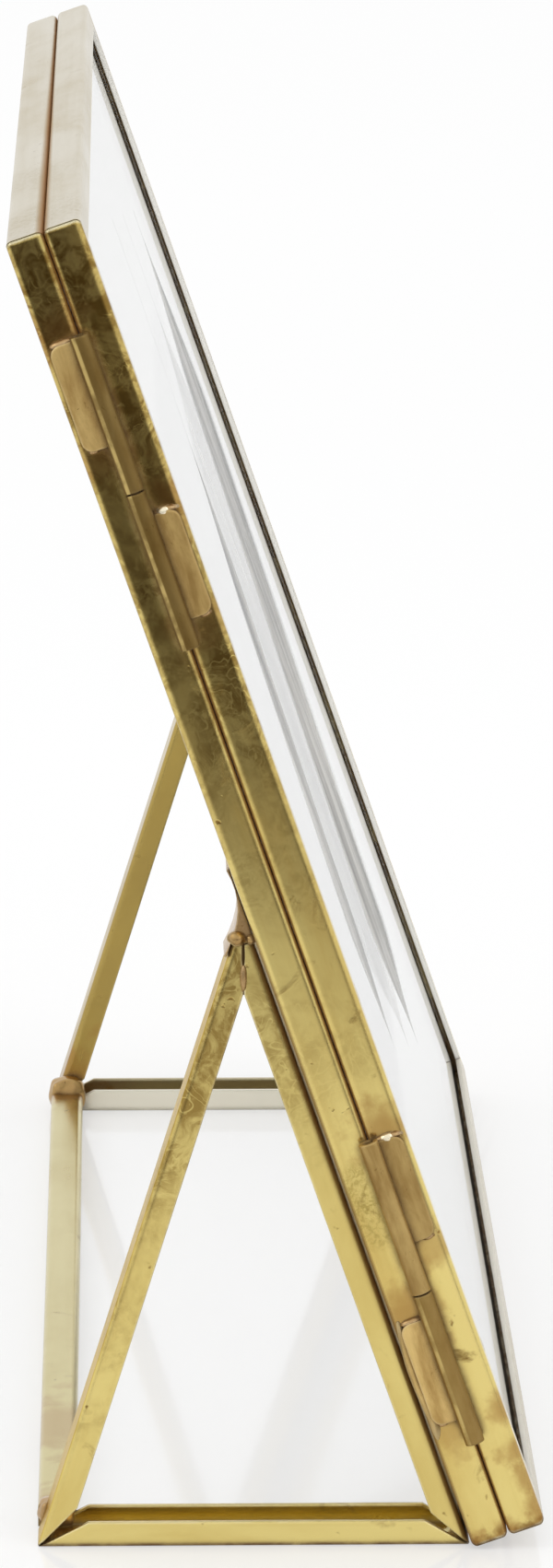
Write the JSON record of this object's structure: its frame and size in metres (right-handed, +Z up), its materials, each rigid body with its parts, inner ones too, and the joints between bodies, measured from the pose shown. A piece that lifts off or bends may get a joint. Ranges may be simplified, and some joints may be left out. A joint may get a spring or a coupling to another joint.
{
  "type": "tabletop photo frame",
  "caption": "Double-sided tabletop photo frame: glazed leaves of brass channel that open like a book on rolled hinges, leaning back on an open triangular brass stand.",
  "frame": {"origin": "middle of the bounding box at its bottom, on the surface the stand rests on", "axes": "+Z up, the picture faces -Y, +X along the width with the hinges on the -X side"},
  "size_m": [0.1928, 0.053, 0.1347],
  "materials": {
    "leaf_brass": "aged, mottled brown patina",
    "stand_brass": "aged, satin",
    "hinge_brass": "matte, heat-tinted",
    "pin_brass": "satin",
    "solder": "smooth brazing fillet",
    "glass": "clear float glass",
    "card": "matt printed card"
  },
  "bodies": {
    "back_leaf_and_stand": {"back_top_bar": "leaf_brass", "back_bottom_bar": "leaf_brass", "back_hinge_bar": "leaf_brass", "back_catch_bar": "leaf_brass", "back_glass": "glass", "picture_card": "card", "upper_back_knuckle": "hinge_brass", "lower_back_knuckle": "hinge_brass", "upper_hinge_pin": "pin_brass", "lower_hinge_pin": "pin_brass", "near_stand_base_bar": "stand_brass", "near_stand_strut": "stand_brass", "near_stand_front_bar": "stand_brass", "near_apex_solder": "solder", "far_stand_base_bar": "stand_brass", "far_stand_strut": "stand_brass", "far_stand_front_bar": "stand_brass", "far_apex_solder": "solder", "stand_cross_bar": "stand_brass"},
    "front_leaf": {"front_top_bar": "leaf_brass", "front_bottom_bar": "leaf_brass", "front_hinge_bar": "leaf_brass", "front_catch_bar": "leaf_brass", "front_glass": "glass", "upper_front_knuckle": "hinge_brass", "lower_front_knuckle": "hinge_brass", "closing_tongue": "hinge_brass"}
  },
  "joints": [
    {"name": "front_leaf_hinge", "type": "hinge", "parent": "back_leaf_and_stand", "child": "front_leaf", "pos_m": [-0.09544, -0.01948, 0.01176], "axis": [0, -0.3297, -0.9441], "range_deg": [0, 175]}
  ]
}
